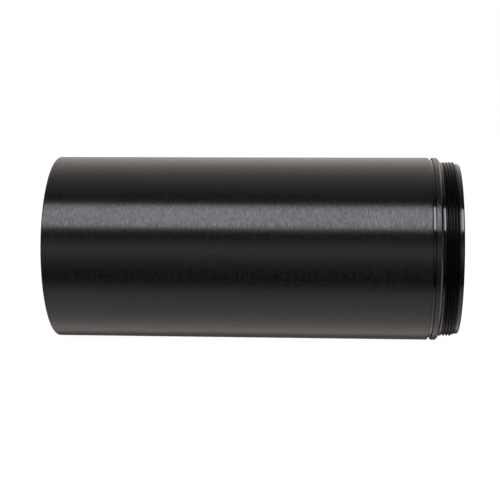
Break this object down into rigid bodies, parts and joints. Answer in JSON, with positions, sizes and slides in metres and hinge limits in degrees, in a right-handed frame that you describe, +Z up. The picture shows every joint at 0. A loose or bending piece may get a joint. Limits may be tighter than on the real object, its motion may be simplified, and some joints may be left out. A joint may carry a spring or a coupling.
{
  "type": "laser collimator",
  "caption": "Cylindrical laser collimator with a threaded nose, a ringed target plate, a tilting laser module, set screws and a screw-in tail cap with a push button.",
  "frame": {"origin": "on the optical axis, at the seat plane of the T-2 thread (the flat front face of the bead)", "axes": "+X along the beam, towards the threaded nose; +Z up with the tube lying on its side; the collimation screws are on the +Y side"},
  "size_m": [0.0971, 0.044, 0.044],
  "materials": {
    "anodised_black": "black anodised, fine brushed",
    "anodised_gloss": "black anodised, turned, glossier than the tube",
    "plain_aluminium": "turned, clear anodised",
    "dark_aluminium": "grey anodised",
    "brass": "turned",
    "target_white": "matt white",
    "graticule_black": "matt black filler",
    "seal_rubber": "black nitrile",
    "spring_steel": "bright drawn wire",
    "screw_steel": "black oxide",
    "bright_steel": "satin stainless",
    "lens_glass": "coated",
    "gold_metal": "gold plated",
    "board_green": "glass-epoxy board with solder mask",
    "carrier_plastic": "black acetal",
    "switch_plastic": "moulded black",
    "plunger_plastic": "moulded ivory",
    "cell_wrap": "shrink wrap, plain blue",
    "wire_red": "PVC insulation",
    "wire_black": "PVC insulation"
  },
  "bodies": {
    "housing": {"body_tube": "anodised_black", "nose_ring": "anodised_gloss", "target_plate": "target_white", "target_graticule": "graticule_black", "target_retainer": "anodised_gloss", "aperture_stop": "brass", "pivot_ring": "plain_aluminium", "spacer_sleeve": "plain_aluminium", "adjuster_ring": "plain_aluminium", "contact_board": "board_green", "positive_contact": "gold_metal", "board_screws": "bright_steel", "battery_carrier": "carrier_plastic", "battery_cell": "cell_wrap", "carrier_clip": "spring_steel", "lead_wire_positive": "wire_red", "lead_wire_negative": "wire_black", "return_spring_a": "spring_steel", "return_spring_b": "spring_steel"},
    "pivot_o_ring": {"pivot_o_ring": "seal_rubber"},
    "laser_module": {"module_sleeve": "dark_aluminium", "laser_housing": "brass", "lens_cell": "brass", "collimating_lens": "lens_glass", "focus_spring": "spring_steel", "laser_diode": "gold_metal", "diode_mount": "brass", "driver_board": "board_green"},
    "tip_a": {"screw_tip_a": "brass"},
    "screw_a": {"collimation_screw_a": "screw_steel"},
    "plunger_a": {"return_plunger_a": "brass"},
    "tip_b": {"screw_tip_b": "brass"},
    "screw_b": {"collimation_screw_b": "screw_steel"},
    "plunger_b": {"return_plunger_b": "brass"},
    "tail_seal": {"tail_o_ring": "seal_rubber"},
    "tail_cap": {"tail_cap": "anodised_black", "button_bezel": "plain_aluminium", "button_spring": "spring_steel", "switch_body": "switch_plastic", "switch_board": "board_green", "switch_retainer": "brass", "battery_spring": "spring_steel"},
    "push_button": {"push_button": "bright_steel", "switch_plunger": "plunger_plastic"}
  },
  "joints": [
    {"name": "tail_cap_travel", "type": "slide", "parent": "housing", "child": "tail_seal", "axis": [-1, 0, 0], "range_m": [0, 0.006], "deforming": ["battery_spring"]},
    {"name": "tail_cap_turn", "type": "hinge", "parent": "tail_seal", "child": "tail_cap", "pos_m": [-0.0864, 0, 0], "axis": [-1, 0, 0], "range_deg": [0, 2160]},
    {"name": "button_press", "type": "slide", "parent": "tail_cap", "child": "push_button", "axis": [1, 0, 0], "range_m": [0, 0.0012], "stiffness_N_per_m": 400, "springref_m": -0.0003, "deforming": ["button_spring"]},
    {"name": "module_tilt_a", "type": "hinge", "parent": "housing", "child": "pivot_o_ring", "pos_m": [-0.0116, 0, 0], "axis": [0, 0.7071, -0.7071], "range_deg": [-1, 1], "deforming": ["lead_wire_positive", "lead_wire_negative"]},
    {"name": "module_tilt_b", "type": "hinge", "parent": "pivot_o_ring", "child": "laser_module", "pos_m": [-0.0116, 0, 0], "axis": [0, -0.7071, -0.7071], "range_deg": [-1, 1], "deforming": ["lead_wire_positive", "lead_wire_negative"]},
    {"name": "tip_a_travel", "type": "slide", "parent": "housing", "child": "tip_a", "axis": [0, 0.7071, 0.7071], "range_m": [-0.00033, 0.00033], "stiffness_N_per_m": 0.5, "springref_m": 0.01309},
    {"name": "screw_a_turn", "type": "hinge", "parent": "tip_a", "child": "screw_a", "pos_m": [-0.0302, 0, 0], "axis": [0, 0.7071, 0.7071], "range_deg": [-234, 234]},
    {"name": "plunger_a_travel", "type": "slide", "parent": "housing", "child": "plunger_a", "axis": [0, 0.7071, 0.7071], "range_m": [-0.00033, 0.00033], "stiffness_N_per_m": 0.2, "springref_m": 0.0111, "deforming": ["return_spring_a"]},
    {"name": "tip_b_travel", "type": "slide", "parent": "housing", "child": "tip_b", "axis": [0, 0.7071, -0.7071], "range_m": [-0.00033, 0.00033], "stiffness_N_per_m": 0.5, "springref_m": -0.01309},
    {"name": "screw_b_turn", "type": "hinge", "parent": "tip_b", "child": "screw_b", "pos_m": [-0.0302, 0, 0], "axis": [0, 0.7071, -0.7071], "range_deg": [-234, 234]},
    {"name": "plunger_b_travel", "type": "slide", "parent": "housing", "child": "plunger_b", "axis": [0, 0.7071, -0.7071], "range_m": [-0.00033, 0.00033], "stiffness_N_per_m": 0.2, "springref_m": -0.0111, "deforming": ["return_spring_b"]}
  ],
  "couplings": [
    {"joint": "tail_cap_travel", "follows": "tail_cap_turn", "m_per_rad": 0.00015915},
    {"joint": "screw_a_turn", "follows": "module_tilt_a", "ratio": 233.73},
    {"joint": "tip_a_travel", "follows": "module_tilt_a", "m_per_rad": 0.0186},
    {"joint": "plunger_a_travel", "follows": "module_tilt_a", "m_per_rad": 0.0186},
    {"joint": "screw_b_turn", "follows": "module_tilt_b", "ratio": 233.73},
    {"joint": "tip_b_travel", "follows": "module_tilt_b", "m_per_rad": 0.0186},
    {"joint": "plunger_b_travel", "follows": "module_tilt_b", "m_per_rad": 0.0186}
  ]
}
